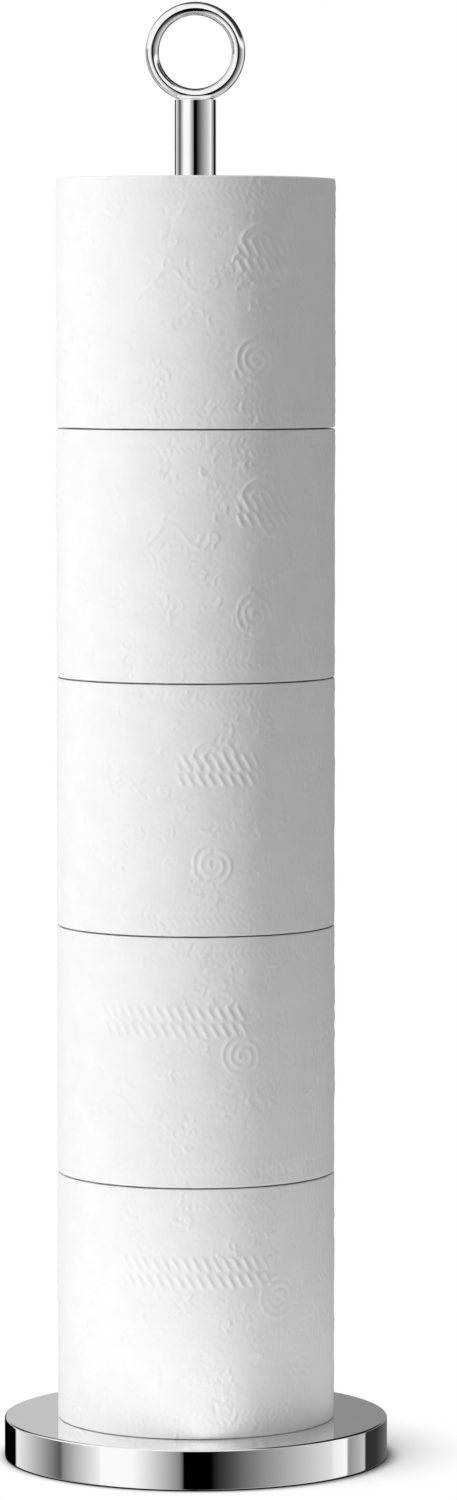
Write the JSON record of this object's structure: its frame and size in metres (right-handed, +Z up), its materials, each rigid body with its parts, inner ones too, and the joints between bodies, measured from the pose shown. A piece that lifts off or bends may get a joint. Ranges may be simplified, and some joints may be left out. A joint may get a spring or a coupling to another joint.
{
  "type": "toilet roll storage holder",
  "caption": "Free-standing storage post for spare toilet rolls: weighted round chrome base, upright pole with a ring handle, and a stack of white rolls that lift off over the ring.",
  "frame": {"origin": "centre of the base on the floor, under the rubber foot", "axes": "+Z up along the pole, which is the axis of the base and of every roll; the ring handle lies in the X-Z plane, so its finger hole runs along Y and faces the viewer at -Y"},
  "size_m": [0.15, 0.15, 0.5673],
  "materials": {
    "chrome_plate": "polished",
    "cast_iron": "matte",
    "foot_rubber": "matte",
    "zinc_steel": "satin",
    "tissue_paper": "matte",
    "core_board": "matte"
  },
  "bodies": {
    "stand": {"base_shell": "chrome_plate", "base_weight": "cast_iron", "rubber_foot": "foot_rubber", "pole_bolt": "zinc_steel", "spring_washer": "zinc_steel", "flat_washer": "zinc_steel", "pole_tube": "chrome_plate", "pole_foot_plug": "zinc_steel", "pole_top_plug": "chrome_plate", "handle_stud": "zinc_steel", "handle_ring": "chrome_plate"},
    "roll_1": {"roll_1_paper": "tissue_paper", "roll_1_core": "core_board"},
    "roll_2": {"roll_2_paper": "tissue_paper", "roll_2_core": "core_board"},
    "roll_3": {"roll_3_paper": "tissue_paper", "roll_3_core": "core_board"},
    "roll_4": {"roll_4_paper": "tissue_paper", "roll_4_core": "core_board"},
    "roll_5": {"roll_5_paper": "tissue_paper", "roll_5_core": "core_board"}
  },
  "joints": [
    {"name": "roll_1_lift", "type": "slide", "parent": "stand", "child": "roll_1", "axis": [0, 0, 1], "range_m": [0, 0.562]},
    {"name": "roll_2_lift", "type": "slide", "parent": "roll_1", "child": "roll_2", "axis": [0, 0, 1], "range_m": [0, 0.465]},
    {"name": "roll_3_lift", "type": "slide", "parent": "roll_2", "child": "roll_3", "axis": [0, 0, 1], "range_m": [0, 0.369]},
    {"name": "roll_4_lift", "type": "slide", "parent": "roll_3", "child": "roll_4", "axis": [0, 0, 1], "range_m": [0, 0.272]},
    {"name": "roll_5_lift", "type": "slide", "parent": "roll_4", "child": "roll_5", "axis": [0, 0, 1], "range_m": [0, 0.175]}
  ]
}
